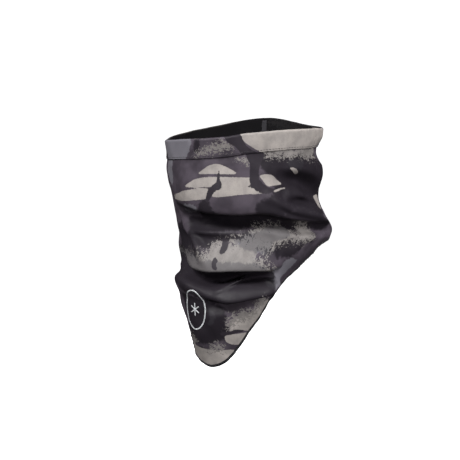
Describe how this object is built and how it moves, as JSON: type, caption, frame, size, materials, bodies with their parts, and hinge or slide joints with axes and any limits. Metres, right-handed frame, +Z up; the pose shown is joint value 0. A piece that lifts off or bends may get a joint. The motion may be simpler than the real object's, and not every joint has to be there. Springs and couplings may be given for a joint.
{
  "type": "neck gaiter",
  "caption": "Fleece-lined camouflage neck gaiter: a slouching soft tube with a folded collar band and a pointed bound bib that covers the chest.",
  "frame": {"origin": "on the neck's axis, at the centre of the tube, level with the base of the neck where the back hem rests", "axes": "+Z up the neck to the rim, -Y to the wearer's front where the bib hangs, +X to the wearer's left"},
  "size_m": [0.172, 0.1977, 0.2643],
  "materials": {
    "shell_print": "printed camouflage softshell with a slight sheen",
    "fleece": "black brushed fleece",
    "binding": "black elastic binding",
    "thread": "charcoal polyester thread",
    "seam_tape": "grey knitted tape",
    "emblem": "pale reflective transfer print"
  },
  "bodies": {
    "root": {"outer_shell": "shell_print", "fleece_lining": "fleece", "collar_band": "shell_print", "hem_binding": "binding", "collar_topstitch": "thread", "hem_topstitch": "thread", "back_seam_flatlock": "thread", "back_seam_tape": "seam_tape", "chest_emblem": "emblem"}
  },
  "joints": []
}
